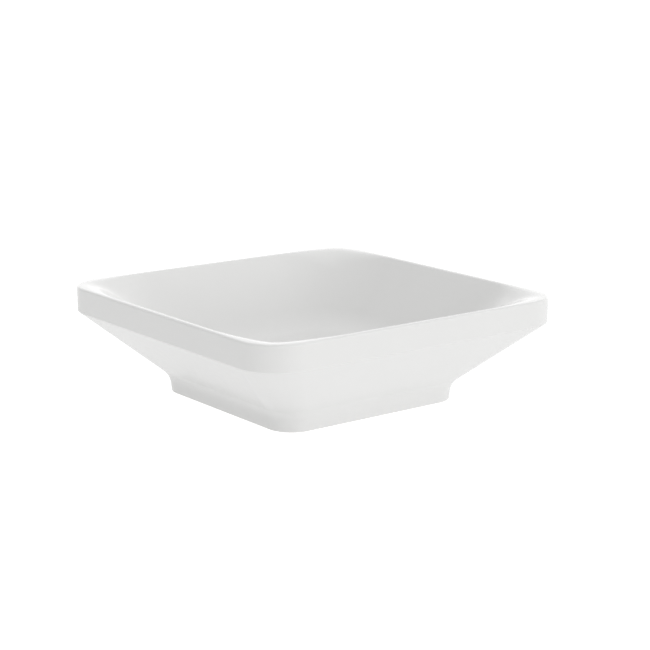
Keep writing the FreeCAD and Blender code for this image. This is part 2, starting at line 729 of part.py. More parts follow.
def make_return_spring():
    """Coil spring between the cartridge's floor and the plunger's bore."""
    spring = doc.addObject("Part::Helix", "spring_path")
    length = "(%s - %s - 2 * spring_wire - 2 * end_gap)" % (SPRING_TOP, SPRING_SEAT)
    spring.setExpression("Pitch", bind("%s / spring_turns" % length))
    spring.setExpression("Height", bind(length))
    spring.setExpression("Radius", bind(SPRING_RADIUS))
    spring.setExpression("Placement.Base.z", bind("%s + spring_wire + end_gap" % SPRING_SEAT))
    spring.SegmentLength = 1  # one edge to a turn, so that the wire's skin keeps close to its path
    wire = doc.addObject("Part::Circle", "spring_section")
    wire.setExpression("Radius", bind("spring_wire"))
    lay = FreeCAD.Rotation(FreeCAD.Vector(1, 0, 0), 90)
    wire.Placement = FreeCAD.Placement(FreeCAD.Vector(0, 0, 0), lay)
    wire.setExpression("Placement.Base.x", bind(SPRING_RADIUS))
    wire.setExpression("Placement.Base.z", bind("%s + spring_wire + end_gap" % SPRING_SEAT))
    doc.recompute()
    coil = doc.addObject("Part::Sweep", "return_spring")
    coil.Sections = [wire]
    coil.Spine = (spring, ["Edge%d" % number for number in range(1, len(spring.Shape.Edges) + 1)])
    coil.Solid = True
    coil.Frenet = True
    coil.Label = "return_spring"
    doc.recompute()
    return coil


# ---- the plug -----------------------------------------------------------------------------------

def make_plug():
    """Disc, seal and dome on one stud at the top of the plunger."""
    turned("plug_disc", [
        ("stud_radius", DISC_UNDER),
        (DISC_RADIUS, DISC_UNDER),
        (DISC_RADIUS, SEAL_UNDER),
        (DISC_NECK, SEAL_UNDER),
        (DISC_NECK, CAP_UNDER),
        ("stud_radius", CAP_UNDER),
    ])
    ring("plug_seal", DISC_NECK, SEAL_RADIUS, SEAL_UNDER, "seal_height")
    edge = "(%s + cap_edge)" % CAP_UNDER
    crown_radius = "((%s * %s + cap_dome * cap_dome) / (2 * cap_dome))" % (CAP_RADIUS, CAP_RADIUS)
    turned("plug_cap", [
        ("stud_radius", CAP_UNDER),
        (CAP_RADIUS, CAP_UNDER),
        (CAP_RADIUS, edge, crown_radius),
        ("0", "(%s + cap_dome)" % edge),
        ("0", "(%s + stud_grip)" % CAP_UNDER),
        ("stud_radius", "(%s + stud_grip)" % CAP_UNDER),
    ])
    stud = doc.addObject("Part::Cylinder", "cap_stud")
    stud.Label = "cap_stud"
    stud.setExpression("Radius", bind("stud_radius"))
    stud.setExpression("Placement.Base.z", bind("%s - stud_hold" % DISC_UNDER))
    reach = "stud_hold + disc_height + seal_height + stud_grip"
    stud.setExpression("Height", bind(reach))


NODES = [
    "basin_bowl",
    "waste_body",
    "flange_gasket",
    "boss_gasket",
    "slip_washer",
    "waste_nut",
    "cartridge_base",
    "cartridge_body",
    "stem_o_ring",
    "plunger",
    "index_ring",
    "return_spring",
    "plug_disc",
    "plug_seal",
    "plug_cap",
    "cap_stud",
]


def check_and_export():
    """Stop on any failed object; then write each piece and say what it measures."""
    doc.recompute()
    for thing in doc.Objects:
        if "Invalid" in thing.State or "Error" in thing.State:
            raise RuntimeError("%s failed: %s" % (thing.Name, thing.State))
    os.makedirs("parts", exist_ok=True)
    pieces = []
    for name in NODES:
        piece = doc.getObjectsByLabel(name)[0]
        shape = piece.Shape
        if shape.isNull() or not shape.isValid() or len(shape.Solids) != 1:
            raise RuntimeError("%s is not one valid solid" % name)
        pieces.append((name, shape))
    for name, shape in pieces:
        shape.exportStep("parts/%s.step" % name)
        box = shape.optimalBoundingBox(False, False)
        print("%-16s solids %d volume %10.1f x %.2f %.2f y %.2f %.2f z %.2f %.2f" % (
            name, len(shape.Solids), shape.Volume,
            box.XMin, box.XMax, box.YMin, box.YMax, box.ZMin, box.ZMax))


make_basin_bowl()
make_waste_body()
make_clamp_pieces()
make_cartridge_base()
make_cartridge_body()
make_stem_seal()
make_plunger()
make_index_ring()
make_return_spring()
make_plug()
check_and_export()
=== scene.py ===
"""A square countertop washbasin of glazed fireclay with its push-to-open waste, in a pale studio."""
import json
import logging
import math
from dataclasses import dataclass, field
from enum import Enum

import bpy
import numpy as np
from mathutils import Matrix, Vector

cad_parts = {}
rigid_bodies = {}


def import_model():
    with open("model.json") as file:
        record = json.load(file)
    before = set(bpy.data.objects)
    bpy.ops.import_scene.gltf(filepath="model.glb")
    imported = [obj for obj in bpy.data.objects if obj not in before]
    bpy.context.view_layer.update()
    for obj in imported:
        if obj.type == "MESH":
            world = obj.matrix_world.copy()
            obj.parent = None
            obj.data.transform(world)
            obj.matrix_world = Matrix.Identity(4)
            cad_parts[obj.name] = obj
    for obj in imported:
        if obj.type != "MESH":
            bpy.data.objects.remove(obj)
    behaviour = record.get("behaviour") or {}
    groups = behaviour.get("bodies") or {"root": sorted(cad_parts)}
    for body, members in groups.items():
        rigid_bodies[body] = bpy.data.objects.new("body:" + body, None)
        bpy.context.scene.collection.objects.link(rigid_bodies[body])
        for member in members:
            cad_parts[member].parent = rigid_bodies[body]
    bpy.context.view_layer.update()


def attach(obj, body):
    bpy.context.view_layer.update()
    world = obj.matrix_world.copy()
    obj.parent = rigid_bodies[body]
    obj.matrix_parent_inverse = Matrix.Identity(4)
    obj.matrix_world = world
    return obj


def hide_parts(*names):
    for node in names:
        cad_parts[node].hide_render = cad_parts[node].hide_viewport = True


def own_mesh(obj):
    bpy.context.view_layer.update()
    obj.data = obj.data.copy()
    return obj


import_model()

log = logging.getLogger("washbasin")

MM = 0.001
Profile = list[tuple[float, float, float]]
Socket = bpy.types.NodeSocket


# ---- colours and nodes ------------------------------------------------------------------------

def linear(colour: str) -> tuple[float, float, float, float]:
    """Turn an sRGB hex colour into linear values.

    Args:
        colour: Six hex digits, with or without a leading #.

    Returns:
        Red, green, blue and an alpha of one, all linear.
    """
    digits = colour.lstrip("#")
    channels = [int(digits[start:start + 2], 16) / 255 for start in (0, 2, 4)]
    red, green, blue = (
        value / 12.92 if value <= 0.04045 else ((value + 0.055) / 1.055) ** 2.4
        for value in channels
    )
    return red, green, blue, 1.0


def add_node(tree: bpy.types.NodeTree, kind: str, links: dict | None = None,
             **settings) -> bpy.types.Node:
    """Add a node, set its properties and sockets, and link what feeds it.

    Args:
        tree: The node tree.
        kind: The node's type name.
        links: Input socket names or numbers, each with the output socket that feeds it.
        settings: Property names with their values. A name that the node lacks is an input socket.

    Returns:
        The new node.
    """
    node = tree.nodes.new(kind)
    for name, value in settings.items():
        if hasattr(node, name):
            setattr(node, name, value)
        else:
            node.inputs[name.replace("_", " ")].default_value = value
    for name, source in (links or {}).items():
        tree.links.new(source, node.inputs[name])
    return node


class Detail(Enum):
    """How a finish's fine relief is laid on it."""

    PEEL = "soft orange peel of a sprayed glaze"
    GRAIN = "open grain of a fired or moulded skin"
    TURNED = "fine rings left by a lathe"
    DRAWN = "streaks along a drawn wire"


@dataclass(frozen=True)
class Finish:
    """A real material and the process that gave it its surface."""

    name: str
    slot: str
    colour: str
    shade: str
    roughness: float
    roughness_swing: float
    detail: Detail
    detail_mm: float
    relief_mm: float
    mottle_mm: float = 60.0
    metallic: float = 0.0
    ior: float = 1.5
    coat: float = 0.0
    coat_roughness: float = 0.03
    subsurface: float = 0.0

    def coordinates(self, tree: bpy.types.NodeTree) -> Socket:
        """Give object coordinates, stretched so that the detail runs the way the surface was worked."""
        place = add_node(tree, "ShaderNodeTexCoord")
        stretch = {
            Detail.TURNED: (0.02, 0.02, 1.0),
            Detail.DRAWN: (0.3, 0.3, 1.0),
        }.get(self.detail, (1.0, 1.0, 1.0))
        mapping = add_node(tree, "ShaderNodeMapping", {"Vector": place.outputs["Object"]}, Scale=stretch)
        return mapping.outputs["Vector"]

    def build(self) -> bpy.types.Material:
        """Build the finish's node material.

        Returns:
            The material, with colour mottle, roughness swing and fine relief sized in millimetres.
        """
        material = bpy.data.materials.new(self.name)
        material.use_nodes = True
        tree = material.node_tree
        tree.nodes.clear()
        plain = add_node(tree, "ShaderNodeTexCoord").outputs["Object"]
        worked = self.coordinates(tree)
        mottle = add_node(
            tree, "ShaderNodeTexNoise", {"Vector": plain},
            Scale=1000 / self.mottle_mm, Detail=3.0, Roughness=0.55)
        colour = add_node(
            tree, "ShaderNodeMix", {"Factor": mottle.outputs["Fac"]},
            data_type="RGBA")
        colour.inputs[6].default_value = linear(self.colour)
        colour.inputs[7].default_value = linear(self.shade)
        fine = add_node(
            tree, "ShaderNodeTexNoise", {"Vector": worked},
            Scale=1000 / self.detail_mm, Detail=2.0, Roughness=0.5)
        swing = add_node(
            tree, "ShaderNodeMapRange", {"Value": fine.outputs["Fac"]},
            From_Min=0.3, From_Max=0.7,
            To_Min=self.roughness - self.roughness_swing, To_Max=self.roughness + self.roughness_swing)
        bump = add_node(
            tree, "ShaderNodeBump", {"Height": fine.outputs["Fac"]},
            Strength=1.0, Distance=self.relief_mm * MM)
        shader = add_node(tree, "ShaderNodeBsdfPrincipled", {
            "Base Color": colour.outputs[2],
            "Roughness": swing.outputs["Result"],
            "Normal": bump.outputs["Normal"],
        })
        shader.inputs["Metallic"].default_value = self.metallic
        shader.inputs["IOR"].default_value = self.ior
        shader.inputs["Coat Weight"].default_value = self.coat
        shader.inputs["Coat Roughness"].default_value = self.coat_roughness
        shader.inputs["Subsurface Weight"].default_value = self.subsurface
        add_node(tree, "ShaderNodeOutputMaterial", {"Surface": shader.outputs["BSDF"]})
        return material


# Sprayed white glaze fired on fireclay: a clear glassy gloss over an opaque white, with a soft
# orange peel a few millimetres across and hardly any change of tone.
GLAZE = Finish(
    "glazed_fireclay", "fireclay_glaze", "#E9E9E8", "#E6E6E5", 0.16, 0.02,
    Detail.PEEL, 9.0, 0.012, mottle_mm=90.0, ior=1.5)
# Fireclay that was wiped clean of glaze and ground flat: matt, creamy and gritty, with grog specks.
BARE_CLAY = Finish(
    "unglazed_fireclay", "fireclay_glaze", "#DDD3C1", "#C9BBA4", 0.85, 0.08,
    Detail.GRAIN, 1.2, 0.12, mottle_mm=14.0)
# Nickel and chrome plate on polished brass: a bright mirror with a trace of polishing haze.
CHROME = Finish(
    "chrome_plated_brass", "chromed_brass", "#D9DBDD", "#D2D4D7", 0.07, 0.02,
    Detail.GRAIN, 2.5, 0.002, metallic=1.0)
# Turned brass, left bright: a warm metal with the lathe's fine rings.
BRASS = Finish(
    "turned_brass", "raw_brass", "#C8A25A", "#B98F4A", 0.30, 0.06,
    Detail.TURNED, 0.35, 0.02, mottle_mm=20.0, metallic=1.0)
# Moulded black rubber: soft, slightly grey at glancing angles, with a fine talc bloom.
RUBBER = Finish(
    "moulded_rubber", "black_rubber", "#1D1D1E", "#2A2A2B", 0.62, 0.08,
    Detail.GRAIN, 0.6, 0.02, mottle_mm=12.0)
# Die-cut polythene washer: milky and waxy.
POLYTHENE = Finish(
    "cut_polythene", "white_washer", "#E4E4DF", "#D9D9D2", 0.42, 0.06,
    Detail.GRAIN, 1.0, 0.015, mottle_mm=15.0, subsurface=0.1)
# Injection-moulded acetal, natural: dense white plastic with a faint satin.
ACETAL = Finish(
    "moulded_acetal", "acetal_white", "#EBEBE6", "#E2E2DC", 0.38, 0.05,
    Detail.GRAIN, 0.8, 0.008, mottle_mm=10.0, subsurface=0.08)
# Injection-moulded acetal, grey: the same satin in a mid grey.
ACETAL_GREY = Finish(
    "moulded_grey_acetal", "acetal_grey", "#8E9296", "#84888C", 0.40, 0.05,
    Detail.GRAIN, 0.8, 0.008, mottle_mm=10.0)
# Stainless spring wire, cold drawn: grey metal with streaks along the wire.
SPRING_WIRE = Finish(
    "drawn_spring_wire", "spring_steel", "#B4B3AF", "#A5A4A0", 0.24, 0.06,
    Detail.DRAWN, 0.4, 0.01, metallic=1.0)


class Bench:
    """Keeps each finish's material, so that pieces of one finish share it."""

    def __init__(self) -> None:
        """Start with no materials."""
        self.made: dict[str, bpy.types.Material] = {}

    def material(self, finish: Finish) -> bpy.types.Material:
        """Give the material of a finish, made on first use."""
        if finish.name not in self.made:
            self.made[finish.name] = finish.build()
        return self.made[finish.name]

    def dress(self, piece: bpy.types.Object, finish: Finish) -> None:
        """Give a piece one finish."""
        piece.data.materials.clear()
        piece.data.materials.append(self.material(finish))


# ---- outlines and meshes --------------------------------------------------------------------------

@dataclass(frozen=True)
class Stop:
    """A corner of an outline: distance from the axis, level, rounding, and corner radius in plan."""

    reach: float
    level: float
    round: float = 0.0
    corner: float = 0.0


def rounded_outline(stops: list[Stop], closed: bool, steps: int = 7) -> Profile:
    """Round an outline's corners with arcs.

    Each arc gets a support point just outside its ends, so that the flats beside it stay flat in
    the shading.

    Args:
        stops: The corners, in order.
        closed: Whether the last corner joins the first.
        steps: Segments in each arc.

    Returns:
        Points as (reach, corner radius in plan, level).
    """
    points: Profile = []
    count = len(stops)
    for number, stop in enumerate(stops):
        here = np.array((stop.reach, stop.corner, stop.level))
        ends = not closed and number in (0, count - 1)
        if ends or stop.round == 0.0:
            points.append(tuple(here))
            continue
        before, after = stops[number - 1], stops[(number + 1) % count]
        back = np.array((before.reach, before.corner, before.level)) - here
        ahead = np.array((after.reach, after.corner, after.level)) - here
        back_run, ahead_run = math.hypot(back[0], back[2]), math.hypot(ahead[0], ahead[2])
        back, ahead = back / back_run, ahead / ahead_run
        inner = math.acos(max(-1.0, min(1.0, back[0] * ahead[0] + back[2] * ahead[2])))
        cut = stop.round / math.tan(inner / 2)
        start, end = here + back * cut, here + ahead * cut
        spare = min(0.6 * stop.round, 0.4 * (min(back_run, ahead_run) - cut))
        if spare > 0:
            points.append(tuple(start + back * spare))
        centre = here + (back + ahead) / 2 * cut / math.cos(inner / 2) ** 2
        first, last = start - centre, end - centre
        begin = math.atan2(first[2], first[0])
        turn = (math.atan2(last[2], last[0]) - begin + math.pi) % (2 * math.pi) - math.pi
        for step in range(steps + 1):
            share = step / steps
            angle = begin + turn * share
            corner = start[1] + (end[1] - start[1]) * share
            points.append((
                centre[0] + stop.round * math.cos(angle), corner,
                centre[2] + stop.round * math.sin(angle)))
        if spare > 0:
            points.append(tuple(end + ahead * spare))
    return points


@dataclass(frozen=True)
class Compass:
    """The directions round the axis at which every ring of a turned piece has its points."""

    count: int = 96

    def ring(self, radius: float | np.ndarray, level: float | np.ndarray) -> np.ndarray:
        """Give a round ring of points, in millimetres."""
        turn = np.arange(self.count) * 2 * math.pi / self.count
        return np.stack([radius * np.cos(turn), radius * np.sin(turn), level + 0 * turn], 1)

    def turns(self) -> np.ndarray:
        """Give each direction as a share of a full turn."""
        return np.arange(self.count) / self.count


def ring_faces(rings: int, count: int, closed: bool) -> list[tuple[int, ...]]:
    """List the quads between rings of points.

    Args:
        rings: Number of rings.
        count: Points in each ring.
        closed: Whether the last ring joins the first.

    Returns:
        Faces as vertex numbers, which face outward when rings go up the outside.
    """
    faces = []
    for row in range(rings if closed else rings - 1):
        above = (row + 1) % rings
        for column in range(count):
            beside = (column + 1) % count
            faces.append((
                row * count + column, row * count + beside,
                above * count + beside, above * count + column))
    return faces


def mesh_piece(name: str, points: np.ndarray, faces: list[tuple[int, ...]]) -> bpy.types.Object:
    """Make a smooth-shaded piece from points in millimetres.

    Args:
        name: The piece's name.
        points: One row for each vertex.
        faces: Vertex numbers of each face.

    Returns:
        The new object, linked to the scene.
    """
    mesh = bpy.data.meshes.new(name)
    mesh.from_pydata((np.asarray(points) * MM).tolist(), [], faces)
    mesh.update()
    mesh.shade_smooth()
    piece = bpy.data.objects.new(name, mesh)
    bpy.context.scene.collection.objects.link(piece)
    return piece


def ringed_piece(name: str, rings: list[np.ndarray]) -> bpy.types.Object:
    """Make a closed piece with a hole through it from a loop of rings."""
    return mesh_piece(name, np.concatenate(rings), ring_faces(len(rings), len(rings[0]), True))


def turned_piece(name: str, stops: list[Stop], closed: bool = True, steps: int = 5,
                 compass: Compass = Compass()) -> bpy.types.Object:
    """Turn a rounded outline about the upright axis.

    Args:
        name: The piece's name.
        stops: The outline's corners, up the outside and down the inside. When it isn't closed,
            it starts and ends on the axis.
        closed: Whether the outline goes round a hole.
        steps: Segments in each rounding.
        compass: Directions round the axis.

    Returns:
        The new piece.
    """
    outline = rounded_outline(stops, closed, steps)
    if closed:
        return ringed_piece(name, [compass.ring(reach, level) for reach, _, level in outline])
    rings = [compass.ring(reach, level) for reach, _, level in outline[1:-1]]
    points = [np.array([[0, 0, outline[0][2]]]), *rings, np.array([[0, 0, outline[-1][2]]])]
    count = compass.count
    faces = [tuple(number + 1 for number in face) for face in ring_faces(len(rings), count, False)]
    top = 1 + (len(rings) - 1) * count
    pole = top + count
    for column in range(count):
        beside = (column + 1) % count
        faces.append((0, 1 + beside, 1 + column))
        faces.append((pole, top + column, top + beside))
    return mesh_piece(name, np.concatenate(points), faces)


# ---- the basin --------------------------------------------------------------------------------------

@dataclass
class SquarePlan:
    """Round-cornered squares whose points match from one ring to the next."""

    arc_steps: int = 26
    side_steps: int = 18
    arc: np.ndarray = field(init=False)
    slide: np.ndarray = field(init=False)

    def __post_init__(self) -> None:
        """Lay out one quarter: its corner arc and then the side up to the next corner."""
        self.arc = np.linspace(0, math.pi / 2, self.arc_steps + 1)
        inner = np.arange(1, self.side_steps) / self.side_steps
        self.slide = (1 - np.cos(math.pi * inner)) / 2

    def quarters(self, quarter: np.ndarray) -> np.ndarray:
        """Repeat a quarter's points four times round the axis."""
        out = []
        for number in range(4):
            cosine, sine = ((1, 0), (0, 1), (-1, 0), (0, -1))[number]
            out.append(np.stack([
                cosine * quarter[:, 0] - sine * quarter[:, 1],
                sine * quarter[:, 0] + cosine * quarter[:, 1]], 1))
        return np.concatenate(out)

    def plan(self, half: float, corner: float) -> np.ndarray:
        """Give a round-cornered square's points in plan, in millimetres."""
        flat = half - corner
        bend = np.stack([flat + corner * np.cos(self.arc), flat + corner * np.sin(self.arc)], 1)
        side = np.stack([flat * (1 - 2 * self.slide), np.full(len(self.slide), half)], 1)
        return self.quarters(np.concatenate([bend, side]))

    def clearance(self, points: np.ndarray, half: float, corner: float) -> np.ndarray:
        """Say how far points in plan lie inside a round-cornered square.

        Args:
            points: One row of two coordinates for each point.
            half: Half width of the square, in millimetres.
            corner: Its corner radius.

        Returns:
            The distance from each point out to the square's outline.
        """
        past = np.abs(points) - (half - corner)
        outside = np.linalg.norm(np.maximum(past, 0), axis=1)
        return corner - outside - np.minimum(past.max(axis=1), 0)

    def ring(self, half: float, corner: float, level: float) -> np.ndarray:
        """Give a level round-cornered square of points."""
        plan = self.plan(half, corner)
        return np.concatenate([plan, np.full((len(plan), 1), level)], 1)


@dataclass
class FireclayBasin:
    """The fireclay body: rim band, sloping underside, coved foot, bowl and hollow, in millimetres."""

    bench: Bench
    plan: SquarePlan = field(default_factory=SquarePlan)
    half: float = 210.0
    height: float = 125.0
    rim_height: float = 29.5
    rim_corner: float = 48.0
    rim_round: float = 2.6
    rim_under_round: float = 2.5
    foot_half: float = 126.0
    foot_lean: float = 2.4
    foot_height: float = 20.0
    foot_corner: float = 31.5
    foot_cove: float = 26.0
    foot_edge: float = 0.8
    rim_lip: float = 7.0
    wall_run: float = 0.95
    mouth_corner: float = 108.0
    heel_top_corner: float = 62.0
    lip_flat: float = 2.2
    heel_radius: float = 70.0
    floor_level: float = 42.0
    skin: float = 10.0
    rim_core: float = 9.0
    recess_radius: float = 34.0
    recess_depth: float = 4.0
    hole_radius: float = 22.955
    boss_radius: float = 41.955
    boss_depth: float = 13.0

    def outside(self) -> list[np.ndarray]:
        """Rings from the middle of the foot's underside up to the rim's flat top."""
        ankle = self.foot_half + self.foot_lean
        ankle_corner = self.foot_corner + self.foot_lean / 2
        band_foot = self.height - self.rim_height
        stops = [
            Stop(self.foot_half - self.skin / 2, 0.0, 0.0, self.foot_corner - self.skin / 2),
            Stop(self.foot_half, 0.0, self.foot_edge, self.foot_corner),
            Stop(ankle, self.foot_height, self.foot_cove, ankle_corner),
            Stop(self.half, band_foot, self.rim_under_round, self.rim_corner),
            Stop(self.half, self.height - self.rim_round, 0.0, self.rim_corner),
        ]
        outline = rounded_outline(stops, closed=False, steps=12)
        outline.insert(-1, (self.half, self.rim_corner, self.height - 1.6 * self.rim_round))
        steps = 8
        for step in range(1, steps + 1):
            angle = math.pi / 2 * step / steps
            inset = self.rim_round * (1 - math.cos(angle))
            level = self.height - self.rim_round * (1 - math.sin(angle))
            outline.append((self.half - inset, self.rim_corner - inset, level))
        return [self.plan.ring(*point) for point in outline]

    def heel(self) -> tuple[float, float, float]:
        """Give the wall's angle below level, and the heel top's depth and half width."""
        angle = math.atan(1 / self.wall_run)
        top = self.floor_level + self.heel_radius * (1 - math.cos(angle))
        depth = self.height - top
        return angle, depth, self.half - self.rim_lip - depth * self.wall_run

    def bowl(self) -> list[np.ndarray]:
        """Rings from the rim's brow down the walls and the round heel to the floor."""
        angle, depth, heel_half = self.heel()
        mouth = self.plan.plan(self.half - self.rim_lip, self.mouth_corner)
        heel = self.plan.plan(heel_half, self.heel_top_corner)
        fall = (heel - mouth) / depth
        run = np.linalg.norm(fall, axis=1)
        inward = fall / run[:, None]
        slope = np.arctan(1 / run)
        lip = self.plan.clearance(mouth, self.half, self.rim_corner)
        reach = lip - self.rim_round - self.lip_flat
        brow = reach / np.tan(slope / 2)
        rings = []

        def add(travel: np.ndarray, drop: np.ndarray) -> None:
            """Add the ring that lies a travel inward of the mouth and a drop below the rim."""
            level = np.full((len(mouth), 1), self.height) - drop[:, None]
            rings.append(np.concatenate([mouth + inward * travel[:, None], level], 1))

        add(-reach - 0.25, 0 * reach)
        brow_steps = 14
        for step in range(brow_steps + 1):
            tilt = slope * step / brow_steps
            add(-reach + brow * np.sin(tilt), brow * (1 - np.cos(tilt)))
        start = brow * (1 - np.cos(slope))
        wall_steps = 14
        for step in range(1, wall_steps):
            share = (1 - math.cos(math.pi * step / wall_steps)) / 2
            drop = start + (depth - start) * share
            add(run * drop, drop)
        floor_half = heel_half - self.heel_radius * math.sin(angle)
        heel_steps = 16
        for step in range(heel_steps + 1):
            tilt = angle * (1 - step / heel_steps)
            rise = self.heel_radius * (1 - math.cos(tilt))
            half = floor_half + self.heel_radius * math.sin(tilt)
            rings.append(self.plan.ring(half, self.bowl_corner(rise), self.floor_level + rise))
        return rings

    def bowl_corner(self, rise: float) -> float:
        """Give the corner radius in plan at a height above the floor, on the heel."""
        _, depth, _ = self.heel()
        heel_rise = self.height - depth - self.floor_level
        rate = (self.mouth_corner - self.heel_top_corner) / depth
        curve = rate / (2 * heel_rise)
        return self.heel_top_corner - curve * (heel_rise ** 2 - rise ** 2)

    def morph(self, square: np.ndarray, radius: float, steps: int = 8) -> list[np.ndarray]:
        """Rings which turn a level square ring into a circle of a radius, both left out."""
        rings = []
        for step in range(1, steps):
            share = step / steps
            rings.append(square * (1 - share) + self.round_ring(square, radius, square[0, 2]) * share)
        return rings

    def round_ring(self, square: np.ndarray, radius: float, level: float) -> np.ndarray:
        """Give a circle whose points lie in the same directions as a square ring's."""
        reach = np.linalg.norm(square[:, :2], axis=1, keepdims=True)
        plan = square[:, :2] / reach * radius
        return np.concatenate([plan, np.full((len(plan), 1), level)], 1)

    def waste_way(self, floor: np.ndarray, under: np.ndarray) -> list[np.ndarray]:
        """Rings from the bowl's floor through the recess and the hole, round the boss and out."""
        seat = self.floor_level - self.recess_depth
        boss_foot = seat - self.boss_depth
        ceiling = self.floor_level - self.skin
        outline = rounded_outline([
            Stop(self.recess_radius + 3.0, self.floor_level),
            Stop(self.recess_radius, self.floor_level, 1.2),
            Stop(self.recess_radius, seat, 0.8),
            Stop(self.hole_radius, seat, 0.8),
            Stop(self.hole_radius, boss_foot, 0.8),
            Stop(self.boss_radius, boss_foot, 2.0),
            Stop(self.boss_radius, ceiling, 5.0),
            Stop(self.boss_radius + 12.0, ceiling),
        ], closed=False, steps=6)
        rings = self.morph(floor, self.recess_radius + 3.0)
        rings += [self.round_ring(floor, reach, level) for reach, _, level in outline]
        rings += self.morph(under, self.boss_radius + 12.0)[::-1]
        return rings

    def underside(self) -> list[np.ndarray]:
        """Rings from the bowl shell's underside round the hollow and back to the foot."""
        angle, depth, heel_half = self.heel()
        floor_half = heel_half - self.heel_radius * math.sin(angle)
        outer_heel = self.heel_radius + self.skin
        points: Profile = []
        steps = 10
        for step in range(steps + 1):
            tilt = angle * step / steps
            rise = self.heel_radius * (1 - math.cos(tilt))
            half = floor_half + outer_heel * math.sin(tilt)
            level = self.floor_level + self.heel_radius - outer_heel * math.cos(tilt)
            points.append((half, self.bowl_corner(rise) + self.skin / 2, level))
        band_foot = self.height - self.rim_height
        core = band_foot - self.rim_core
        ankle = self.foot_half + self.foot_lean
        slope_run = (self.half - ankle) / (band_foot - self.foot_height)
        inset = self.skin * math.hypot(1, slope_run)
        shell_run = self.skin * math.hypot(1, self.wall_run)
        shell_top = self.half - self.rim_lip - (self.height - core) * self.wall_run + shell_run
        foot_corner = self.foot_corner - self.skin
        outline = rounded_outline([
            Stop(points[-1][0], points[-1][2], 0.0, points[-1][1]),
            Stop(shell_top, core, 2.0, self.rim_corner + self.skin),
            Stop(self.half - self.rim_core * slope_run - inset, core, 2.0, self.rim_corner - self.skin),
            Stop(ankle - inset, self.foot_height, 12.0, foot_corner),
            Stop(self.foot_half - self.skin, 0.0, self.foot_edge, foot_corner),
            Stop(self.foot_half - self.skin / 2, 0.0, 0.0, self.foot_corner - self.skin / 2),
        ], closed=False, steps=8)
        return [self.plan.ring(*point) for point in points + outline[1:-1]]

    def build(self) -> bpy.types.Object:
        """Make the body as one closed mesh, glazed above and bare where it was wiped."""
        outside, bowl, underside = self.outside(), self.bowl(), self.underside()
        waste_way = self.waste_way(bowl[-1], underside[0])
        rings = outside + bowl + waste_way + underside
        piece = ringed_piece("basin_body", rings)
        piece.data.materials.append(self.bench.material(GLAZE))
        piece.data.materials.append(self.bench.material(BARE_CLAY))
        self.mark_bare(piece, rings)
        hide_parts("basin_bowl")
        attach(piece, "basin")
        log.info("basin_body: %d rings, %d faces", len(rings), len(piece.data.polygons))
        return piece

    def mark_bare(self, piece: bpy.types.Object, rings: list[np.ndarray]) -> None:
        """Put the bare finish on the foot's ground face, the boss and the hollow."""
        count = len(rings[0])
        outside, bowl = len(self.outside()), len(self.bowl())
        boss_foot = self.floor_level - self.recess_depth - self.boss_depth
        past_boss = outside + bowl + 60
        bare_rows = set()
        for row in range(len(rings)):
            level = float(rings[row][:, 2].max())
            grounded = level < 0.2 and row < outside
            inside = row > outside + bowl and level < self.floor_level - self.recess_depth - 1.0
            if grounded or (inside and level >= boss_foot - 1.0) or row > past_boss:
                bare_rows.add(row)
        flags = np.zeros(len(piece.data.polygons), dtype=np.int32)
        for row in bare_rows:
            flags[row * count:(row + 1) * count] = 1
        piece.data.polygons.foreach_set("material_index", flags)


# ---- the waste --------------------------------------------------------------------------------------

@dataclass(frozen=True)
class Thread:
    """A rounded thread cut into a round face, in millimetres."""

    crest: float
    depth: float
    pitch: float
    low: float
    high: float
    fade: float = 1.2

    def radius(self, turns: np.ndarray, level: float) -> np.ndarray:
        """Give the face's radius at each direction round a level."""
        inside = min(level - self.low, self.high - level) / self.fade
        ease = max(0.0, min(1.0, inside))
        groove = (1 - np.cos(2 * math.pi * (level / self.pitch - turns))) / 2
        return self.crest - self.depth * ease * groove

    def rows(self, steps: int = 9) -> np.ndarray:
        """Give levels from one end to the other, close enough to carry the thread's form."""
        count = max(2, round((self.high - self.low) / self.pitch * steps))
        return np.linspace(self.low, self.high, count + 1)

    def rings(self, compass: Compass) -> list[np.ndarray]:
        """Give the rings of the threaded face, from its low end up."""
        return [compass.ring(self.radius(compass.turns(), level), level) for level in self.rows()]


def joined(name: str, shells: list[bpy.types.Object]) -> bpy.types.Object:
    """Make one piece of several closed shells, and remove them."""
    points, faces = [], []
    for shell in shells:
        base = len(points)
        points += [vertex.co / MM for vertex in shell.data.vertices]
        faces += [tuple(base + number for number in face.vertices) for face in shell.data.polygons]
        bpy.data.objects.remove(shell)
    return mesh_piece(name, np.array(points), faces)


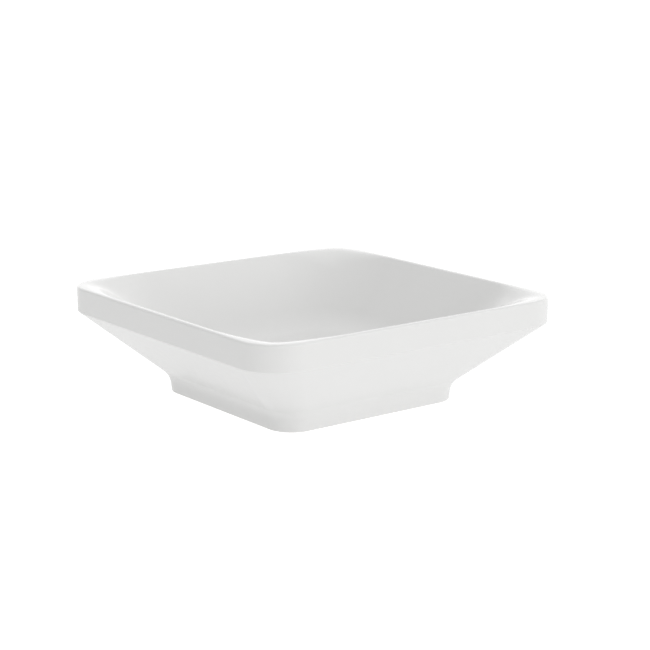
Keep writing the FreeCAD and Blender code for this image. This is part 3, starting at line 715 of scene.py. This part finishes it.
@dataclass
class PushWaste:
    """The push-to-open waste: clamped tail, click cartridge, and plug, in millimetres."""

    bench: Bench
    compass: Compass = Compass(96)
    tail_radius: float = 20.955
    tail_bore: float = 18.5
    tail_end: float = 3.0
    flange_radius: float = 32.0
    flange_under: float = 39.2
    flange_top: float = 42.2
    seat_foot: float = 38.7
    nut_foot: float = 14.0
    nut_top: float = 20.0
    nut_half: float = 25.155
    plug_lift: float = 8.0
    seat_level: float = 38.0
    flange_gasket_radius: float = 29.5
    boss_under: float = 25.0
    washer_top: float = 21.5
    gasket_radius: float = 29.955
    gasket_neck: float = 22.655
    washer_radius: float = 28.955
    bridge_foot: float = 4.0
    spigot: float = 4.5
    cartridge_foot: float = 8.0
    cartridge_radius: float = 12.0
    spring_seat: float = 9.5
    neck_foot: float = 15.0
    neck_top: float = 19.0
    cartridge_top: float = 35.0
    sleeve_top: float = 32.1
    sleeve_bore: float = 8.08
    stem_guide: float = 5.08
    pocket_radius: float = 10.08
    pocket_top: float = 22.5
    seal_groove: float = 6.68
    seal_middle: float = 33.55
    stud_radius: float = 3.0
    disc_under: float = 46.5
    disc_radius: float = 16.8
    disc_neck: float = 14.5
    seal_under: float = 48.5
    seal_radius: float = 20.9
    cap_under: float = 50.5
    cap_radius: float = 21.3

    def finish(self, piece: bpy.types.Object, finish: Finish, node: str, body: str = "basin") -> None:
        """Dress a piece and let it stand for its node on its body."""
        self.bench.dress(piece, finish)
        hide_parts(node)
        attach(piece, body)

    def turned(self, node: str, finish: Finish, stops: list[Stop], closed: bool = True,
               body: str = "basin") -> bpy.types.Object:
        """Turn a plain piece and let it stand for its node."""
        piece = turned_piece(node + "_visual", stops, closed, compass=self.compass)
        self.finish(piece, finish, node, body)
        return piece

    def tail_threads(self) -> tuple[Thread, Thread]:
        """Give the tail's free thread below the run-out groove and the clamped one above it."""
        crest = self.tail_radius - 0.03
        lower = Thread(crest, 1.3, 2.309, self.tail_end + 0.5, self.nut_foot)
        upper = Thread(crest, 1.3, 2.309, self.nut_foot + 0.6, self.flange_under - 3.0)
        return lower, upper

    def tail(self) -> None:
        """Flanged and threaded tail, with the bridge which carries the cartridge."""
        lower, upper = self.tail_threads()
        groove = self.tail_radius - 0.7
        foot = [
            self.compass.ring(self.tail_bore, self.tail_end + 0.5),
            self.compass.ring(self.tail_bore + 0.5, self.tail_end),
            self.compass.ring(lower.crest - 0.9, self.tail_end),
            self.compass.ring(lower.crest - 0.1, self.tail_end + 0.4),
        ]
        neck = [self.compass.ring(groove, level) for level in (self.nut_foot + 0.1, self.nut_foot + 0.5)]
        crown = rounded_outline([
            Stop(upper.crest, upper.high + 0.2),
            Stop(upper.crest, self.flange_under, 0.4),
            Stop(self.flange_radius, self.flange_under, 0.3),
            Stop(self.flange_radius, self.flange_under + 1.3, 1.0),
            Stop(self.flange_radius - 2.6, self.flange_top, 2.4),
            Stop(self.tail_bore + 5.2, self.flange_top, 1.6),
            Stop(self.tail_bore + 3.0, self.seat_foot + 2.0, 0.8),
            Stop(self.tail_bore, self.seat_foot, 0.5),
            Stop(self.tail_bore, self.tail_end + 0.6),
        ], closed=False, steps=7)
        rings = foot + lower.rings(self.compass) + neck + upper.rings(self.compass)
        rings += [self.compass.ring(reach, level) for reach, _, level in crown]
        shell = ringed_piece("tail_shell", rings)
        self.finish(joined("waste_body_visual", [shell, self.bridge()]), CHROME, "waste_body")

    def bridge(self) -> bpy.types.Object:
        """Cross of four arms round a hub."""
        arm_reach, arm_half, hub, hole = self.tail_radius - 1.3, 1.6, 8.0, 4.52
        shoulder = math.asin(arm_half / hub)
        outer = []
        for number in range(4):
            middle = math.pi / 4 + number * math.pi / 2
            ahead = np.array((math.cos(middle), math.sin(middle)))
            aside = np.array((-math.sin(middle), math.cos(middle)))
            for along, across in ((arm_reach, -arm_half), (arm_reach, arm_half)):
                outer.append(ahead * along + aside * across)
            for step in range(9):
                angle = middle + shoulder + (math.pi / 2 - 2 * shoulder) * step / 8
                outer.append(hub * np.array((math.cos(angle), math.sin(angle))))
        plan = np.array(outer)
        reach = np.linalg.norm(plan, axis=1, keepdims=True)

        def level_ring(line: np.ndarray, level: float) -> np.ndarray:
            """Lay a plan outline at a level."""
            return np.concatenate([line, np.full((len(line), 1), level)], 1)

        low, high, edge, lead = self.bridge_foot, self.cartridge_foot, 0.35, 0.3
        small, bore = plan * (1 - edge / reach), plan / reach * hole
        wide = bore + plan / reach * lead
        return ringed_piece("bridge_shell", [
            level_ring(small, low), level_ring(plan, low + edge),
            level_ring(plan, high - edge), level_ring(small, high),
            level_ring(wide, high), level_ring(bore, high - lead),
            level_ring(bore, low + lead), level_ring(wide, low),
        ])

    def nut(self) -> None:
        """Hexagonal back nut with chamfered corners and a thread which meets the tail's."""
        turns = self.compass.turns()
        side = np.mod(turns * 6, 1) - 0.5
        hexagon = self.nut_half / np.cos(side * math.pi / 3)
        rings = []
        low, high = self.nut_foot, self.nut_top
        for level in np.concatenate([np.linspace(low, low + 1.6, 9), np.linspace(high - 1.6, high, 9)]):
            edge = min(level - low, high - level)
            rings.append(self.compass.ring(np.minimum(hexagon, self.nut_half - 0.4 + 2.4 * edge), level))
        _, upper = self.tail_threads()
        for level in np.linspace(high, low, 28):
            bore = np.maximum(upper.radius(turns, max(level, upper.low)), self.tail_radius - 1.0)
            ease = 0.6 * max(0.0, 1 - min(level - low, high - level) / 0.5)
            rings.append(self.compass.ring(bore + 0.05 + ease, level))
        self.finish(ringed_piece("waste_nut_visual", rings), BRASS, "waste_nut")

    def clamp(self) -> None:
        """The gaskets and the washer between the body, the boss and the nut."""
        shank = self.tail_radius + 0.3
        seat, under = self.seat_level, self.flange_under
        self.turned("flange_gasket", RUBBER, [
            Stop(shank, seat, 0.2), Stop(self.flange_gasket_radius, seat, 0.5),
            Stop(self.flange_gasket_radius, under, 0.5), Stop(shank, under, 0.2)])
        low, high, neck = self.washer_top, self.boss_under, self.gasket_neck
        self.turned("boss_gasket", RUBBER, [
            Stop(shank, low, 0.3), Stop(self.gasket_radius, low, 1.0),
            Stop(self.gasket_radius, high, 1.0), Stop(neck, high, 0.3),
            Stop(neck, high + 2.0, 0.6), Stop(shank, high + 2.0, 0.2)])
        self.turned("slip_washer", POLYTHENE, [
            Stop(shank, self.nut_top, 0.15), Stop(self.washer_radius, self.nut_top, 0.3),
            Stop(self.washer_radius, low, 0.3), Stop(shank, low, 0.15)])

    def grip(self, level: float) -> list[Stop]:
        """Give the corners of a shallow groove round the cartridge, from its lower edge up."""
        barrel, root = self.cartridge_radius, self.cartridge_radius - 0.4
        return [
            Stop(barrel, level, 0.1), Stop(root, level + 0.3, 0.1),
            Stop(root, level + 0.9, 0.1), Stop(barrel, level + 1.2, 0.1)]

    def cartridge(self) -> None:
        """The two moulded halves and the seal round the stem."""
        barrel, spigot, post = self.cartridge_radius, self.spigot, 3.0
        post_top = self.spring_seat + 2.5
        neck, skirt = 10.9, 10.92
        self.turned("cartridge_base", ACETAL, [
            Stop(0, self.bridge_foot), Stop(spigot, self.bridge_foot, 0.6),
            Stop(spigot, self.cartridge_foot, 0.2), Stop(barrel, self.cartridge_foot, 0.8),
            *self.grip(11.0), Stop(barrel, self.neck_foot, 0.15),
            Stop(neck, self.neck_foot, 0.1), Stop(neck, self.neck_top, 0.3),
            Stop(self.sleeve_bore, self.neck_top, 0.2), Stop(self.sleeve_bore, self.spring_seat, 0.1),
            Stop(post, self.spring_seat, 0.3), Stop(post, post_top, 0.5), Stop(0, post_top)],
            closed=False)
        guide, groove, half_groove = self.stem_guide, self.seal_groove, 0.8
        self.turned("cartridge_body", ACETAL, [
            Stop(skirt, self.neck_foot, 0.15), Stop(barrel, self.neck_foot, 0.15), *self.grip(31.0),
            Stop(barrel, self.cartridge_top, 1.0), Stop(guide, self.cartridge_top, 0.3),
            Stop(guide, self.seal_middle + half_groove), Stop(groove, self.seal_middle + half_groove, 0.1),
            Stop(groove, self.seal_middle - half_groove, 0.1), Stop(guide, self.seal_middle - half_groove),
            Stop(guide, self.sleeve_top, 0.1), Stop(self.sleeve_bore, self.sleeve_top, 0.2),
            Stop(self.sleeve_bore, self.pocket_top, 0.1), Stop(self.pocket_radius, self.pocket_top, 0.1),
            Stop(self.pocket_radius, self.neck_top, 0.1), Stop(skirt, self.neck_top, 0.05)])
        middle, wire = (guide + groove) / 2, 0.74
        hoop = []
        for turn in np.arange(20) * 2 * math.pi / 20:
            level = self.seal_middle + wire * math.sin(turn)
            hoop.append(self.compass.ring(middle + wire * math.cos(turn), level))
        self.finish(ringed_piece("stem_o_ring_visual", hoop), RUBBER, "stem_o_ring")

    def spring(self) -> None:
        """Coil with a closed turn at each end."""
        radius, wire, low, high, coils = 4.4, 0.49, 10.1, 28.9, 7.0
        around, along = 14, 420
        rings = []
        for step in range(along + 1):
            turn = coils * step / along
            ends = 1.06
            rise = ends * min(turn, 1.0) + ends * max(0.0, turn - coils + 1)
            rise += (high - low - 2 * ends) * max(0.0, min(1.0, (turn - 1) / (coils - 2)))
            angle = turn * 2 * math.pi
            out, tip = np.array((math.cos(angle), math.sin(angle), 0)), np.array((0, 0, 1.0))
            spin = np.arange(around) * 2 * math.pi / around
            centre = out * radius + np.array((0, 0, low + rise))
            thick = wire * (1.0 if 0 < step < along else 0.7)
            rings.append(centre + thick * (np.outer(np.cos(spin), out) + np.outer(np.sin(spin), tip)))
        faces = [face[::-1] for face in ring_faces(len(rings), around, False)]
        last = (len(rings) - 1) * around
        faces += [tuple(range(around)), tuple(last + number for number in reversed(range(around)))]
        piece = mesh_piece("return_spring_visual", np.concatenate(rings), faces)
        self.bench.dress(piece, SPRING_WIRE)
        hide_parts("return_spring")
        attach(piece, "basin")
        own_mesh(piece)

    def plug(self) -> None:
        """Disc, seal and chrome dome, and the stud that holds them; all move with the plunger."""
        shank, disc, seal = self.stud_radius, self.disc_radius, self.seal_radius
        self.turned("plug_disc", ACETAL_GREY, [
            Stop(shank, self.disc_under, 0.15), Stop(disc, self.disc_under, 0.6),
            Stop(disc, self.seal_under, 0.3), Stop(self.disc_neck, self.seal_under, 0.1),
            Stop(self.disc_neck, self.cap_under, 0.1), Stop(shank, self.cap_under, 0.1)], body="plug")
        inner = self.disc_neck + 0.02
        self.turned("plug_seal", RUBBER, [
            Stop(inner, self.seal_under, 0.2), Stop(18.6, self.seal_under, 0.4), Stop(seal, 49.1, 0.5),
            Stop(seal, 50.4, 0.3), Stop(inner, self.cap_under, 0.1)], body="plug")
        edge, rise, rim, socket = 51.7, 3.0, self.cap_radius, 53.1
        crown = (rim * rim + rise * rise) / (2 * rise)
        dome = []
        for reach in np.linspace(rim - 1.0, 1.2, 16):
            dome.append(Stop(float(reach), edge + rise - crown + math.sqrt(crown ** 2 - reach ** 2)))
        self.turned("plug_cap", CHROME, [
            Stop(0, socket), Stop(shank, socket, 0.1), Stop(shank, self.cap_under, 0.2),
            Stop(rim, self.cap_under, 0.5), Stop(rim, edge, 0.55), *dome, Stop(0, edge + rise)],
            closed=False, body="plug")
        self.stud()

    def stud(self) -> None:
        """Threaded stud which holds the dome, the seal and the disc on the plunger."""
        foot, head, core = 40.0, 53.1, 2.3
        stud = Thread(2.96, 0.6, 1.0, 40.4, 52.7, 0.5)
        rings = [self.compass.ring(core, foot), *stud.rings(self.compass), self.compass.ring(core, head)]
        count = self.compass.count
        points = np.concatenate([*rings, np.array([[0, 0, foot], [0, 0, head]])])
        faces = ring_faces(len(rings), count, False)
        top, low_pole = (len(rings) - 1) * count, len(rings) * count
        for column in range(count):
            beside = (column + 1) % count
            faces.append((low_pole, beside, column))
            faces.append((low_pole + 1, top + column, top + beside))
        self.finish(mesh_piece("cap_stud_visual", points, faces), BRASS, "cap_stud", "plug")

    def kept(self) -> None:
        """Give the two moulded moving pieces, whose own shapes are right, their plastics."""
        for node, finish in (("plunger", ACETAL_GREY), ("index_ring", ACETAL)):
            piece = bpy.data.objects[node]
            for holder in piece.material_slots:
                holder.material = self.bench.material(finish)

    def build(self) -> None:
        """Make every piece of the waste."""
        self.tail()
        self.nut()
        self.clamp()
        self.cartridge()
        self.spring()
        self.plug()
        self.kept()
        log.info("waste: clamped tail, cartridge and plug")


# ---- studio -----------------------------------------------------------------------------------------

@dataclass
class Studio:
    """A pale floor, soft light all round and one camera."""

    lens: float = 94.0
    camera_place: tuple[float, float, float] = (-1.16172, -1.55460, 0.53034)
    azimuth: float = -37.319
    fall: float = 12.990
    sky: str = "#FFFFFF"
    floor_glow: float = 0.72
    floor_seen: float = 0.98
    dome_seen: float = 1.1
    dim_left: float = 0.26
    open_right: float = 0.96
    window: float = 1.22
    skylight: float = 0.90
    backdrop: float = 0.54
    backdrop_heading: tuple[float, float, float] = (0.606, 0.795, 0.0)

    def camera(self) -> None:
        """Stand the camera in front of the near corner, a little above the rim."""
        data = bpy.data.cameras.new("camera")
        data.lens = self.lens
        data.sensor_width = 36.0
        data.clip_end = 50.0
        camera = bpy.data.objects.new("camera", data)
        turn, drop = math.radians(self.azimuth), math.radians(self.fall)
        level = math.cos(drop)
        ahead = Vector((-math.sin(turn) * level, math.cos(turn) * level, -math.sin(drop)))
        camera.location = self.camera_place
        camera.rotation_euler = ahead.to_track_quat("-Z", "Y").to_euler()
        bpy.context.scene.collection.objects.link(camera)
        bpy.context.scene.camera = camera

    def floor(self) -> None:
        """Lay a wide pale floor which glows a little, so that it stays white under the object."""
        reach = 8000.0
        corners = reach * np.array([(-1, -1, 0), (1, -1, 0), (1, 1, 0), (-1, 1, 0)])
        floor = mesh_piece("studio_floor", corners, [(0, 1, 2, 3)])
        material = bpy.data.materials.new("matt_white_backdrop")
        material.use_nodes = True
        tree = material.node_tree
        tree.nodes.clear()
        matt = add_node(tree, "ShaderNodeBsdfDiffuse")
        matt.inputs["Color"].default_value = linear("#8C8C8C")
        ray = add_node(tree, "ShaderNodeLightPath")
        seen = add_node(
            tree, "ShaderNodeMapRange", {"Value": ray.outputs["Is Camera Ray"]},
            To_Min=self.floor_glow, To_Max=self.floor_seen)
        glow = add_node(tree, "ShaderNodeEmission", {"Strength": seen.outputs["Result"]})
        both = add_node(tree, "ShaderNodeAddShader", {0: matt.outputs[0], 1: glow.outputs[0]})
        add_node(tree, "ShaderNodeOutputMaterial", {"Surface": both.outputs[0]})
        floor.data.materials.append(material)

    def dome(self) -> None:
        """Light from a white dome: dim at the left, a window in front, a skylight and a lit backdrop."""
        world = bpy.data.worlds.new("studio_dome")
        world.use_nodes = True
        tree = world.node_tree
        tree.nodes.clear()
        place = add_node(tree, "ShaderNodeTexCoord")
        split = add_node(tree, "ShaderNodeSeparateXYZ", {0: place.outputs["Generated"]})
        x, y, z = (split.outputs[axis] for axis in "XYZ")
        heading = add_node(
            tree, "ShaderNodeVectorMath", {0: place.outputs["Generated"]}, operation="DOT_PRODUCT")
        heading.inputs[1].default_value = self.backdrop_heading
        behind = heading.outputs["Value"]

        def ramp(value: Socket, start: float, end: float, low: float, high: float) -> Socket:
            """Map a range of a value to a strength."""
            node = add_node(
                tree, "ShaderNodeMapRange", {"Value": value},
                From_Min=start, From_Max=end, To_Min=low, To_Max=high)
            return node.outputs["Result"]

        def both(kind: str, one: Socket, other: Socket) -> Socket:
            """Add or multiply two strengths."""
            return add_node(tree, "ShaderNodeMath", {0: one, 1: other}, operation=kind).outputs[0]

        dim_side = ramp(x, -0.9, 0.1, self.dim_left, self.open_right)
        window = both(
            "MULTIPLY", ramp(y, -1.0, -0.1, self.window, 0.0), ramp(z, 0.04, 0.36, 1.0, 0.0))
        skylight = both(
            "MULTIPLY", ramp(x, -1.0, 0.0, self.skylight, 0.0), ramp(z, 0.36, 0.78, 0.0, 1.0))
        backdrop = both(
            "MULTIPLY", ramp(behind, 0.4, 0.9, 0.0, self.backdrop), ramp(z, 0.10, 0.60, 1.0, 0.0))
        lit = both("ADD", both("ADD", dim_side, window), both("ADD", skylight, backdrop))
        ray = add_node(tree, "ShaderNodeLightPath")
        seen = add_node(
            tree, "ShaderNodeMix", {"Factor": ray.outputs["Is Camera Ray"], 2: lit}, data_type="FLOAT")
        seen.inputs[3].default_value = self.dome_seen
        light = add_node(tree, "ShaderNodeBackground", {"Strength": seen.outputs[0]})
        light.inputs["Color"].default_value = linear(self.sky)
        add_node(tree, "ShaderNodeOutputWorld", {"Surface": light.outputs[0]})
        bpy.context.scene.world = world

    def build(self) -> None:
        """Set up the floor, the light, the camera and a plain display of tones."""
        self.camera()
        self.floor()
        self.dome()
        bpy.context.scene.view_settings.view_transform = "Standard"
        log.info("studio: floor, dome and camera")


def main() -> None:
    """Build the basin and its waste in order, and then the studio."""
    logging.basicConfig(level=logging.INFO, format="%(name)s %(message)s")
    bench = Bench()
    Studio().build()
    FireclayBasin(bench).build()
    PushWaste(bench).build()


if __name__ == "__main__":
    main()
